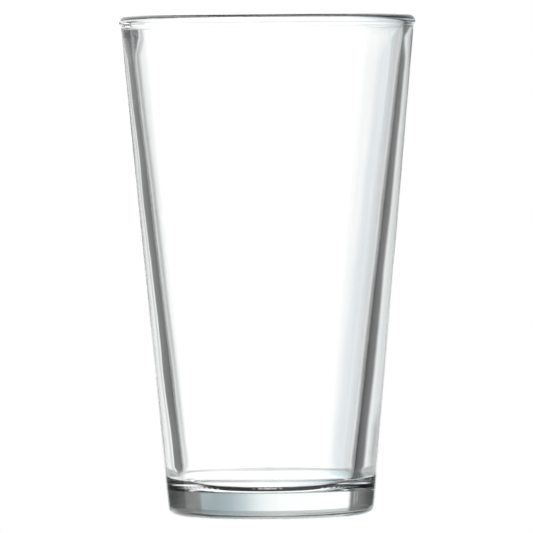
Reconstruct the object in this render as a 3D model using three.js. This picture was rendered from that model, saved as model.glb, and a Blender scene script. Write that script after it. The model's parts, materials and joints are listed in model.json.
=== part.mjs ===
// A pint glass: one pressed, fire-polished piece of clear soda-lime glass.
// The outside is a straight cone that stands on a flat ring, with a rounded
// heel below and a beaded lip above. The inside is a steeper cone, so the wall
// thickens towards a heavy floor. Millimetres, +Z up; the origin is on the axis
// of the glass, in the plane of the ring that it stands on.

import * as THREE from 'three';

// Driving dimensions.
const height = 148;              // from the resting ring to the top of the lip
const baseDiameter = 60.8;       // straight outer wall, carried down to the resting plane
const mouthDiameter = 87.6;      // straight outer wall, carried up to the top of the lip
const wallAtMouth = 2.65;        // measured level, at the top of the lip
const wallAtFloor = 6.19;        // measured level, at the inside floor
const floorThickness = 7.7;      // from the resting plane to the inside floor
const heelRadius = 3.2;          // between the resting ring and the outer wall
const floorFilletRadius = 5;     // between the inside floor and the inner wall
const restingRingWidth = 5.2;    // flat land that touches the table
const puntDepth = 1.3;           // rise of the underside at the axis
const beadHeight = 3.95;         // from the lower edge of the bead to the top of the lip
const beadProud = 0.39;          // how far the bead stands off the outer wall
const lipRadius = 2;             // outer half of the rounded lip

// Fineness of the faceted surface.
const turnSegments = 96;
const puntSteps = 4;
const heelSteps = 6;
const beadSteps = 4;
const outerLipSteps = 6;
const innerLipSteps = 4;
const filletSteps = 6;

// Slope of each wall, as an angle off the axis.
const outerRun = (mouthDiameter - baseDiameter) / 2;
const outerSlope = Math.atan2(outerRun, height);
const innerRadiusAtMouth = mouthDiameter / 2 - wallAtMouth;
const innerRadiusAtFloor = outerRadius(floorThickness) - wallAtFloor;
const innerRun = innerRadiusAtMouth - innerRadiusAtFloor;
const innerSlope = Math.atan2(innerRun, height - floorThickness);

// Radius of the straight outer wall at height z.
function outerRadius(z) {
  return baseDiameter / 2 + z * Math.tan(outerSlope);
}

// Radius of the straight inner wall at height z.
function innerRadius(z) {
  return innerRadiusAtFloor + (z - floorThickness) * Math.tan(innerSlope);
}

// Points along an arc about (radius, z), both ends included.
function arc(centreRadius, centreZ, arcRadius, from, to, steps) {
  const points = [];
  for (let i = 0; i <= steps; i += 1) {
    const angle = from + ((to - from) * i) / steps;
    const r = centreRadius + arcRadius * Math.cos(angle);
    const z = centreZ + arcRadius * Math.sin(angle);
    points.push(new THREE.Vector2(r, z));
  }
  return points;
}

// Heel: tangent to the resting plane and to the outer wall.
function heel() {
  const centre = outerRadius(heelRadius) - heelRadius / Math.cos(outerSlope);
  return arc(centre, heelRadius, heelRadius, -Math.PI / 2, -outerSlope, heelSteps);
}

// Underside: a shallow dome from the axis out to the inner edge of the resting ring.
function punt(ringInnerRadius) {
  const domeRadius = (ringInnerRadius ** 2 + puntDepth ** 2) / (2 * puntDepth);
  const points = [new THREE.Vector2(0, puntDepth)];
  for (let i = 1; i <= puntSteps; i += 1) {
    const r = (ringInnerRadius * i) / puntSteps;
    const z = puntDepth - domeRadius + Math.sqrt(domeRadius ** 2 - r ** 2);
    points.push(new THREE.Vector2(r, i === puntSteps ? 0 : z));
  }
  return points;
}

// Lip: an outer arc tangent to the bead, then an inner arc tangent to the inner wall.
function lip() {
  const outerZ = height - lipRadius;
  const crown = outerRadius(outerZ) - (lipRadius - beadProud) / Math.cos(outerSlope);
  const innerWidth = crown - innerRadius(height);
  const innerArc = (innerWidth * Math.cos(innerSlope)) / (1 - Math.sin(innerSlope));
  const top = Math.PI / 2;
  return [
    ...arc(crown, outerZ, lipRadius, -outerSlope, top, outerLipSteps),
    ...arc(crown, height - innerArc, innerArc, top, Math.PI - innerSlope, innerLipSteps).slice(1),
  ];
}

// Bead: a smooth swelling off the outer wall, up to the start of the lip.
function bead() {
  const lowZ = height - beadHeight;
  const highZ = height - lipRadius * (1 + Math.sin(outerSlope)) + beadProud * Math.sin(outerSlope);
  const points = [];
  for (let i = 0; i < beadSteps; i += 1) {
    const t = i / beadSteps;
    const z = lowZ + (highZ - lowZ) * t;
    const proud = (beadProud * (1 - Math.cos(Math.PI * t))) / 2;
    const r = outerRadius(z) + proud * Math.cos(outerSlope);
    points.push(new THREE.Vector2(r, z - proud * Math.sin(outerSlope)));
  }
  return points;
}

// Fillet between the inner wall and the flat inside floor.
function floorFillet() {
  const z = floorThickness + floorFilletRadius;
  const centre = innerRadius(z) - floorFilletRadius / Math.cos(innerSlope);
  return arc(centre, z, floorFilletRadius, -innerSlope, -Math.PI / 2, filletSteps);
}

// Half section of the glass, from the axis below to the axis above the floor.
function section() {
  const heelPoints = heel();
  const ringInnerRadius = heelPoints[0].x - restingRingWidth;
  return [
    ...punt(ringInnerRadius),
    ...heelPoints,
    ...bead(),
    ...lip(),
    ...floorFillet(),
    new THREE.Vector2(0, floorThickness),
  ];
}

function clearGlass() {
  return new THREE.MeshStandardMaterial({ color: 0xe6efec, roughness: 0.03, metalness: 0 });
}

function glassBody() {
  const geometry = new THREE.LatheGeometry(section(), turnSegments);
  geometry.rotateX(Math.PI / 2);
  const mesh = new THREE.Mesh(geometry, clearGlass());
  mesh.name = 'glass_body';
  return mesh;
}

const pintGlass = new THREE.Group();
pintGlass.add(glassBody());

export default pintGlass;
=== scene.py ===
"""A clear pint glass: the finished surface, its glass, and a bright-field studio round it."""

import bpy
import bmesh
import json
import math
from mathutils import Matrix, Vector


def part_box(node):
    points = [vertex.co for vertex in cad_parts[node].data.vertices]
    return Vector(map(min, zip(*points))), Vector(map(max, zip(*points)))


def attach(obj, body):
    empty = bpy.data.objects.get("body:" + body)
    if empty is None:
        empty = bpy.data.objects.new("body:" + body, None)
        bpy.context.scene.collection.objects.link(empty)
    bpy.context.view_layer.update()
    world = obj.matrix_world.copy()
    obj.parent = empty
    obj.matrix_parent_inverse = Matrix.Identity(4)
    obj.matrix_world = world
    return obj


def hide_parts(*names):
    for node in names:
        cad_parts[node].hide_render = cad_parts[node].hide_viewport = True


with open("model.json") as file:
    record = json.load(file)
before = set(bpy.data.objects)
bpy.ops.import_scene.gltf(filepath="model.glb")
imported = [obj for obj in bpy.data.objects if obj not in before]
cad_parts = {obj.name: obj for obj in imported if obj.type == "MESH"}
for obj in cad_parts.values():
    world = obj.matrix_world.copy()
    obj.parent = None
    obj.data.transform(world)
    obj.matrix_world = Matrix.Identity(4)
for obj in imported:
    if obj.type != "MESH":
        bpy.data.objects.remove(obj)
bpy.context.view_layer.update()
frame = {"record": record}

MM = 0.001

# The height and the level of the inside floor come from the frame; the rest are the mould's own.
low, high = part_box("glass_body")
mounts = {mount["name"]: mount for mount in frame["record"]["mounts"]}
HEIGHT = high.z - low.z
FLOOR_THICKNESS = mounts["inside_floor"]["pos_m"][2]
BASE_RADIUS = 30.4 * MM          # straight outer wall, carried down to the table
MOUTH_RADIUS = 43.8 * MM         # straight outer wall, carried up to the top of the lip
WALL_AT_MOUTH = 2.65 * MM        # measured level, as is the next
WALL_AT_FLOOR = 6.19 * MM
HEEL_RADIUS = 3.2 * MM
FILLET_RADIUS = 5 * MM
RING_WIDTH = 5.2 * MM
PUNT_DEPTH = 1.3 * MM
BEAD_HEIGHT = 3.95 * MM
BEAD_PROUD = 0.39 * MM
LIP_RADIUS = 2 * MM

# What the press and the fire-polish leave on the real surface.
PLUNGER_LEAN_LOW = -0.55 * MM    # the plunger stands a little off centre, more so at the floor
PLUNGER_LEAN_HIGH = -0.12 * MM
LEAN_FADE = 10 * MM              # the lean dies out over this depth below the top of the lip
RIPPLE = 0.012 * MM              # slow waves round and along the walls
RIPPLE_FADE_LOW = 25 * MM        # the waves die out over this height above the table
RIPPLE_FADE_HIGH = 45 * MM       # and over this depth below the top of the lip
RIPPLE_WAVES = [                 # waves round the glass, twist from foot to lip, share, shift
    (2, 21, 1.0, 1.0),
    (3, -13, 0.6, 2.1),
    (5, 34, 0.5, 0.7),
]
OUTER_PHASE = 0.4                # the two faces of the wall ripple each in its own way
INNER_PHASE = 2.3
PRESS_MARKS = 72                 # little radial notches across the resting ring
PRESS_MARK_DEPTH = 0.16 * MM
PRESS_MARK_RUNOUT = 0.25         # share of the ring's width over which a notch runs out

# Fineness of the surface.
TURN_STEPS = 360
PUNT_STEPS = 16
RING_STEPS = 12
HEEL_STEPS = 18
WALL_STEPS = 48
BEAD_STEPS = 12
OUTER_LIP_STEPS = 16
INNER_LIP_STEPS = 12
FILLET_STEPS = 18
FLOOR_STEPS = 10

outer_tan = (MOUTH_RADIUS - BASE_RADIUS) / HEIGHT
outer_slope = math.atan(outer_tan)
inner_at_mouth = MOUTH_RADIUS - WALL_AT_MOUTH
inner_at_floor = BASE_RADIUS + FLOOR_THICKNESS * outer_tan - WALL_AT_FLOOR
inner_tan = (inner_at_mouth - inner_at_floor) / (HEIGHT - FLOOR_THICKNESS)
inner_slope = math.atan(inner_tan)


def outer_radius(z):
    return BASE_RADIUS + z * outer_tan


def inner_radius(z):
    return inner_at_floor + (z - FLOOR_THICKNESS) * inner_tan


ring_outer = outer_radius(HEEL_RADIUS) - HEEL_RADIUS / math.cos(outer_slope)
ring_inner = ring_outer - RING_WIDTH


def arc(centre_r, centre_z, radius, start, end, steps):
    """Points of an arc, both ends included, as (radius, height)."""
    turn = [start + (end - start) * i / steps for i in range(steps + 1)]
    return [(centre_r + radius * math.cos(a), centre_z + radius * math.sin(a)) for a in turn]


def run(start, end, steps):
    """Points of a straight run, without its two ends."""
    (r0, z0), (r1, z1) = start, end
    return [(r0 + (r1 - r0) * i / steps, z0 + (z1 - z0) * i / steps) for i in range(1, steps)]


def underside():
    """The shallow punt, then the flat ring that the glass rests on."""
    dome = (ring_inner ** 2 + PUNT_DEPTH ** 2) / (2 * PUNT_DEPTH)
    punt = []
    for i in range(1, PUNT_STEPS + 1):
        r = ring_inner * i / PUNT_STEPS
        punt.append((r, max(0.0, PUNT_DEPTH - dome + math.sqrt(dome ** 2 - r ** 2))))
    return punt + run((ring_inner, 0.0), (ring_outer, 0.0), RING_STEPS)


def bead():
    """A smooth swelling off the outer wall, up to the start of the lip."""
    bottom = HEIGHT - BEAD_HEIGHT
    top = HEIGHT - LIP_RADIUS * (1 + math.sin(outer_slope)) + BEAD_PROUD * math.sin(outer_slope)
    points = []
    for i in range(BEAD_STEPS):
        t = i / BEAD_STEPS
        z = bottom + (top - bottom) * t
        proud = BEAD_PROUD * (1 - math.cos(math.pi * t)) / 2
        r = outer_radius(z) + proud * math.cos(outer_slope)
        points.append((r, z - proud * math.sin(outer_slope)))
    return points


def outside():
    """The heel, the straight wall and the bead."""
    heel = arc(ring_outer, HEEL_RADIUS, HEEL_RADIUS, -math.pi / 2, -outer_slope, HEEL_STEPS)
    swelling = bead()
    return heel + run(heel[-1], swelling[0], WALL_STEPS) + swelling


def lip():
    """An outer arc that carries the bead on, then an inner arc down to the inner wall."""
    outer_z = HEIGHT - LIP_RADIUS
    crown = outer_radius(outer_z) - (LIP_RADIUS - BEAD_PROUD) / math.cos(outer_slope)
    room = crown - inner_radius(HEIGHT)
    inner = room * math.cos(inner_slope) / (1 - math.sin(inner_slope))
    top = math.pi / 2
    return (
        arc(crown, outer_z, LIP_RADIUS, -outer_slope, top, OUTER_LIP_STEPS)
        + arc(crown, HEIGHT - inner, inner, top, math.pi - inner_slope, INNER_LIP_STEPS)[1:]
    )


def inside():
    """The inner wall, the fillet at its foot and the flat floor."""
    z = FLOOR_THICKNESS + FILLET_RADIUS
    centre = inner_radius(z) - FILLET_RADIUS / math.cos(inner_slope)
    fillet = arc(centre, z, FILLET_RADIUS, -inner_slope, -math.pi / 2, FILLET_STEPS)
    floor = [(centre * i / FLOOR_STEPS, FLOOR_THICKNESS) for i in range(FLOOR_STEPS - 1, 0, -1)]
    return run(lip()[-1], fillet[0], WALL_STEPS) + fillet + floor


def section():
    """The half section, from the punt round to the floor, as (radius, height, side)."""
    sides = (("out", underside() + outside()), ("lip", lip()), ("in", inside()))
    return [(r, z, side) for side, points in sides for r, z in points]


def ripple(angle, z, phase):
    """A slow, uneven wave of about one unit, periodic round the glass."""
    waves = sum(
        share * math.sin(turns * angle + twist * z / HEIGHT + shift * phase)
        for turns, twist, share, shift in RIPPLE_WAVES
    )
    return waves / sum(wave[2] for wave in RIPPLE_WAVES)


def plunger_lean(z):
    """How far off centre the inside stands at height z."""
    lean = PLUNGER_LEAN_LOW + (PLUNGER_LEAN_HIGH - PLUNGER_LEAN_LOW) * z / HEIGHT
    return lean * min(1.0, max(0.0, (HEIGHT - z) / LEAN_FADE))


def press_mark(angle, r):
    """How far a point of the resting ring is pressed up, one notch after another."""
    across = (r - ring_inner) / RING_WIDTH
    if not 0.0 < across < 1.0:
        return 0.0
    wave = max(0.0, math.cos(PRESS_MARKS * angle)) ** 2
    runout = min(1.0, across / PRESS_MARK_RUNOUT, (1 - across) / PRESS_MARK_RUNOUT)
    return PRESS_MARK_DEPTH * wave * runout


def skin_point(angle, r, z, side):
    """A point of the section, turned round the axis and moved as the press left it."""
    lift = min(1.0, z / RIPPLE_FADE_LOW) * min(1.0, (HEIGHT - z) / RIPPLE_FADE_HIGH)
    wave = ripple(angle, z, OUTER_PHASE if side == "out" else INNER_PHASE)
    # the outside only ever dips inwards, so the glass keeps to its mould
    swell = RIPPLE * lift * (wave - 1 if side == "out" else wave)
    lean = plunger_lean(z) if side == "in" else 0.0
    rise = press_mark(angle, r) if z == 0.0 else 0.0
    return ((r + swell) * math.cos(angle) + lean, (r + swell) * math.sin(angle), z + rise)


def glass_mesh():
    """One closed skin, turned from the section."""
    mesh = bmesh.new()
    angles = [2 * math.pi * i / TURN_STEPS for i in range(TURN_STEPS)]
    rings = [
        [mesh.verts.new(skin_point(angle, r, z, side)) for angle in angles]
        for r, z, side in section()
    ]
    for lower, upper in zip(rings, rings[1:]):
        for i in range(TURN_STEPS):
            j = (i + 1) % TURN_STEPS
            mesh.faces.new((lower[i], lower[j], upper[j], upper[i]))
    under = mesh.verts.new((0, 0, PUNT_DEPTH))
    floor = mesh.verts.new((plunger_lean(FLOOR_THICKNESS), 0, FLOOR_THICKNESS))
    for i in range(TURN_STEPS):
        j = (i + 1) % TURN_STEPS
        mesh.faces.new((under, rings[0][j], rings[0][i]))
        mesh.faces.new((floor, rings[-1][i], rings[-1][j]))
    bmesh.ops.recalc_face_normals(mesh, faces=mesh.faces)
    for face in mesh.faces:
        face.smooth = True
    data = bpy.data.meshes.new("glass_body_skin")
    mesh.to_mesh(data)
    mesh.free()
    return data


class Wire:
    """A shader socket that takes part in Python arithmetic by adding Math nodes."""

    def __init__(self, tree, socket):
        self.tree = tree
        self.socket = socket

    def maths(self, operation, *others):
        values = dict(enumerate((self, *others)))
        return self.tree.node("ShaderNodeMath", {"operation": operation}, values)

    def __add__(self, other):
        return self.maths("ADD", other)

    __radd__ = __add__

    def __mul__(self, other):
        return self.maths("MULTIPLY", other)

    __rmul__ = __mul__

    def __sub__(self, other):
        return self.maths("SUBTRACT", other)

    def __rsub__(self, other):
        return self.maths("MULTIPLY", -1.0).maths("ADD", other)

    def __truediv__(self, other):
        return self.maths("DIVIDE", other)


class Tree:
    """A node tree with one method that adds any node."""

    def __init__(self, node_tree):
        self.nodes = node_tree.nodes
        self.links = node_tree.links
        self.nodes.clear()

    def node(self, kind, settings=None, inputs=None, out=0):
        """Adds a node: its type, its settings, its sockets' values or links, and which output."""
        made = self.nodes.new(kind)
        for name, value in (settings or {}).items():
            if name == "stops":
                self.set_stops(made.color_ramp, value)
            else:
                setattr(made, name, value)
        for name, value in (inputs or {}).items():
            if isinstance(value, Wire):
                self.links.new(value.socket, made.inputs[name])
            else:
                made.inputs[name].default_value = value
        return Wire(self, made.outputs[out]) if made.outputs else None

    @staticmethod
    def set_stops(ramp, stops):
        while len(ramp.elements) > 1:
            ramp.elements.remove(ramp.elements[-1])
        for i, (place, colour) in enumerate(stops):
            element = ramp.elements[0] if i == 0 else ramp.elements.new(place)
            element.position = place
            element.color = colour


def clear_glass():
    """Clear soda-lime glass, faintly grey-green, with a fire-polished skin."""
    material = bpy.data.materials.new("clear_glass")
    material.use_nodes = True
    tree = Tree(material.node_tree)
    place = tree.node("ShaderNodeTexCoord", out="Object")
    orange_peel = tree.node("ShaderNodeTexNoise", inputs={
        "Vector": place,
        "Scale": 90.0,
        "Detail": 2.0,
        "Roughness": 0.4,
    })
    bump = tree.node("ShaderNodeBump", inputs={
        "Strength": 0.015,
        "Distance": 0.4 * MM,
        "Height": orange_peel,
    })
    surface = tree.node("ShaderNodeBsdfPrincipled", inputs={
        "Base Color": (0.99, 0.995, 0.994, 1.0),
        "Roughness": 0.0,
        "IOR": 1.52,
        "Transmission Weight": 1.0,
        "Normal": bump,
    })
    # along a wall or across the base, a long way through the glass, it darkens and cools
    depth = tree.node("ShaderNodeVolumeAbsorption", inputs={
        "Color": (0.615, 0.64, 0.635, 1.0),
        "Density": 26.0,
    })
    tree.node("ShaderNodeOutputMaterial", inputs={"Surface": surface, "Volume": depth})
    return material


def glass_body():
    """The whole glass, one piece."""
    piece = bpy.data.objects.new("glass_body_skin", glass_mesh())
    bpy.context.scene.collection.objects.link(piece)
    piece.data.materials.append(clear_glass())
    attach(piece, "root")
    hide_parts("glass_body")


# Light. Each level is (bearing, brightness) or (bearing, brightness, share of cold blue-grey).
# Bearings are degrees from straight behind the glass, plus to the right.
COLD_RED_LOSS = 0.14
COLD_BLUE_GAIN = 0.06
WHITE = (1.0, 1.0, 1.0, 1.0)


def side_lamps(brightness, middle):
    """Puts a tall lamp on each side of the glass, round the levels that stand between them."""
    left = [(-180, 0.25), (-130, 0.25), (-127, brightness), (-86, brightness)]
    right = [(98, brightness), (172, brightness), (175, 0.25)]
    return left + middle + right


# From the table's edge up, where the base of the glass looks: a white panel, with dark flags on
# both sides and two thin slits of light in the left one.
BACKDROP = side_lamps(1.2, [
    (-84, 0.11), (-60, 0.2), (-46.2, 0.38), (-45.2, 0.7), (-44.2, 0.4), (-42.8, 0.42),
    (-41.9, 0.85), (-41, 0.38), (-38.5, 0.42), (-37.5, 1.95), (0, 1.86), (5, 1.65, 0.3),
    (10, 1.22, 0.6), (16, 0.9, 1.0), (23, 0.75, 1.0), (31.5, 0.72, 1.0), (32.5, 0.38),
    (45, 0.22), (58, 0.12), (95, 0.07),
])
# Above the bright band behind the base, the same panel is dimmer.
UPPER = side_lamps(0.95, [
    (-84, 0.11), (-60, 0.2), (-46, 0.36), (-38.5, 0.4), (-37.5, 1.1), (0, 1.1), (10, 0.85, 0.6),
    (23, 0.55, 1.0), (31.5, 0.5, 1.0), (32.5, 0.38), (45, 0.22), (58, 0.12), (95, 0.07),
])
# The lit table, seen low through the walls.
TABLE = [
    (-180, 1.0), (-162, 1.2), (-158, 0.3), (-113, 0.3), (-109, 1.2), (-71, 1.2), (-67, 0.2),
    (-26, 0.13), (-19.2, 0.26), (-18.5, 1.5), (-17, 0.85, 0.5), (-15.6, 0.75), (-15.2, 1.4),
    (-8, 1.4), (5, 1.28), (9.2, 1.23), (9.8, 1.12, 0.3), (12.5, 1.11, 0.3), (15, 1.15, 0.2),
    (18, 1.25), (18.5, 0.24), (25, 0.09), (158, 0.12), (162, 1.0),
]
# The table close to the glass, greyer.
NEAR_TABLE = [
    (-180, 0.3), (-26, 0.13), (-19.2, 0.24), (-18.3, 0.62), (-12, 0.6), (-7, 0.8), (-3, 1.1),
    (3, 0.85), (9, 0.66), (18.2, 0.6), (18.8, 0.26), (25, 0.15), (180, 0.3),
]
# Further down, which is what is seen through the walls from higher up.
STEEP = [
    (-180, 0.25), (-127, 0.3), (-86, 0.3), (-82, 0.98), (-45, 1.0), (-36, 1.1), (-26, 1.35),
    (0, 1.5), (5, 1.4, 0.3), (10, 1.2, 0.6), (16, 0.95, 1.0), (23, 0.8, 1.0), (31.5, 0.45, 1.0),
    (32.5, 0.22), (45, 0.17), (95, 0.1), (98, 1.0), (172, 1.0), (175, 0.25),
]
# Steeply down: lit behind the glass, dark at its sides and in front.
BELOW = [(-180, 0.03), (-60, 0.03), (-30, 1.5), (30, 1.5), (60, 0.03)]
SHADOW = 0.02                    # the table beside the foot, in the glass's own shade
UNDERFOOT = 0.85                 # the table right under the glass, lit through it

# Heights between which one light gives way to the next, in degrees above the horizon.
TABLE_EDGE = (1.5, 1.0)
STEEP_EDGE = (-10.5, -13)
BELOW_EDGE = (-33, -38)
SHADOW_EDGE = (-44, -49)
UNDERFOOT_EDGE = (-79, -84)
UPPER_EDGE = (4.4, 5.6)

# The near part of the table starts this far down, and further down off to the sides.
NEAR_TABLE_HEIGHT = -5.0
NEAR_TABLE_FALL = 0.128          # degrees down for each degree of bearing
NEAR_TABLE_EDGE = (-0.02, 0.6)   # degrees below that line

# The table's levels fan out as the eye looks down on them.
FAN_AT_HORIZON = 0.208
FAN_PER_DEGREE = 0.18            # added for each degree down
FAN_LEAST = 0.6
FAN_MOST = 2.1
FAN_EDGE = (60, 52)              # no fan beyond the first bearing, all of it within the second


def grey(brightness, cold=0.0):
    """A light colour: neutral, or partly a cold blue-grey."""
    red = brightness * (1 - COLD_RED_LOSS * cold)
    blue = brightness * (1 + COLD_BLUE_GAIN * cold)
    return (red, brightness, blue, 1.0)


def round_ramp(tree, bearing, levels):
    """Light that changes with the bearing, from -180 to 180 degrees."""
    stops = [(0.5 + at / 360, grey(*level)) for at, *level in levels]
    return tree.node("ShaderNodeValToRGB", {"stops": stops}, {0: bearing / 360 + 0.5})


def blend_light(tree, share, first, second):
    """The first light where share is 0, the second where it is 1."""
    return tree.node("ShaderNodeMix", {"data_type": "RGBA"}, {0: share, 6: first, 7: second}, out=2)


def step_up(tree, value, start, end):
    """Rises smoothly from 0 at start to 1 at end."""
    settings = {"interpolation_type": "SMOOTHSTEP"}
    return tree.node("ShaderNodeMapRange", settings, {0: value, 1: start, 2: end})


def fanned(tree, bearing, height):
    """The bearing as the table has it, narrower than the eye's where the table fans out."""
    fan = FAN_AT_HORIZON - FAN_PER_DEGREE * height
    fan = fan.maths("MAXIMUM", FAN_LEAST).maths("MINIMUM", FAN_MOST)
    inner = step_up(tree, bearing.maths("ABSOLUTE"), *FAN_EDGE)
    return bearing / (1 + inner * (fan - 1))


def table_light(tree, bearing, height):
    """The lit table, greyer close to the glass."""
    spread = fanned(tree, bearing, height)
    near_height = NEAR_TABLE_HEIGHT - NEAR_TABLE_FALL * bearing.maths("ABSOLUTE")
    near = step_up(tree, near_height - height, *NEAR_TABLE_EDGE)
    far_table = round_ramp(tree, spread, TABLE)
    near_table = round_ramp(tree, spread, NEAR_TABLE)
    return blend_light(tree, near, far_table, near_table)


def studio_light():
    """Bright-field light: white behind the glass, dark flags beyond, a lit table below."""
    world = bpy.data.worlds.new("studio")
    bpy.context.scene.world = world
    world.use_nodes = True
    tree = Tree(world.node_tree)
    way = tree.node("ShaderNodeTexCoord", out="Generated")
    x, y, z = (tree.node("ShaderNodeSeparateXYZ", inputs={0: way}, out=axis) for axis in "XYZ")
    bearing = x.maths("ARCTAN2", y) * math.degrees(1)
    height = z.maths("ARCSINE") * math.degrees(1)
    layers = [
        (TABLE_EDGE, table_light(tree, bearing, height)),
        (STEEP_EDGE, round_ramp(tree, bearing, STEEP)),
        (BELOW_EDGE, round_ramp(tree, bearing, BELOW)),
        (SHADOW_EDGE, grey(SHADOW)),
        (UNDERFOOT_EDGE, grey(UNDERFOOT)),
        (UPPER_EDGE, round_ramp(tree, bearing, UPPER)),
    ]
    light = round_ramp(tree, bearing, BACKDROP)
    for edge, layer in layers:
        light = blend_light(tree, step_up(tree, height, *edge), light, layer)
    seen = tree.node("ShaderNodeLightPath", out="Is Camera Ray")
    light = blend_light(tree, seen, light, WHITE)
    background = tree.node("ShaderNodeBackground", inputs={"Color": light, "Strength": 1.0})
    tree.node("ShaderNodeOutputWorld", inputs={"Surface": background})


def pale_floor():
    """A plain white sweep under the glass."""
    half_width = 6.0
    gap = 0.2 * MM
    mesh = bmesh.new()
    bmesh.ops.create_grid(mesh, x_segments=1, y_segments=1, size=half_width)
    data = bpy.data.meshes.new("pale_floor")
    mesh.to_mesh(data)
    mesh.free()
    floor = bpy.data.objects.new("pale_floor", data)
    bpy.context.scene.collection.objects.link(floor)
    floor.location.z = low.z - gap
    floor.visible_transmission = False
    floor.visible_glossy = False
    material = bpy.data.materials.new("pale_floor")
    material.use_nodes = True
    tree = Tree(material.node_tree)
    glow = tree.node("ShaderNodeEmission", inputs={"Color": WHITE, "Strength": 1.0})
    tree.node("ShaderNodeOutputMaterial", inputs={"Surface": glow})
    data.materials.append(material)


def camera():
    """A long lens with its eye just above the rim, rolled a touch."""
    lens = 638.4
    distance = 2.8
    eye_height = HEIGHT + 14.6 * MM
    aim = Vector((-0.8 * MM, 0.0, HEIGHT * 0.4964))
    roll = math.radians(-0.48)
    data = bpy.data.cameras.new("camera")
    data.lens = lens
    data.sensor_width = 36
    data.clip_end = 50
    eye = bpy.data.objects.new("camera", data)
    bpy.context.scene.collection.objects.link(eye)
    eye.location = (0.0, -distance, eye_height)
    look = (aim - eye.location).to_track_quat("-Z", "Y").to_matrix().to_4x4()
    eye.matrix_world = Matrix.Translation(eye.location) @ look @ Matrix.Rotation(roll, 4, "Z")
    bpy.context.scene.camera = eye


def picture_settings():
    """Plain colours, and light paths long enough for thick glass."""
    scene = bpy.context.scene
    scene.view_settings.view_transform = "Standard"
    scene.view_settings.look = "None"
    scene.cycles.max_bounces = 32
    scene.cycles.transmission_bounces = 32
    scene.cycles.glossy_bounces = 16
    scene.cycles.use_denoising = True


camera()
glass_body()
pale_floor()
studio_light()
picture_settings()
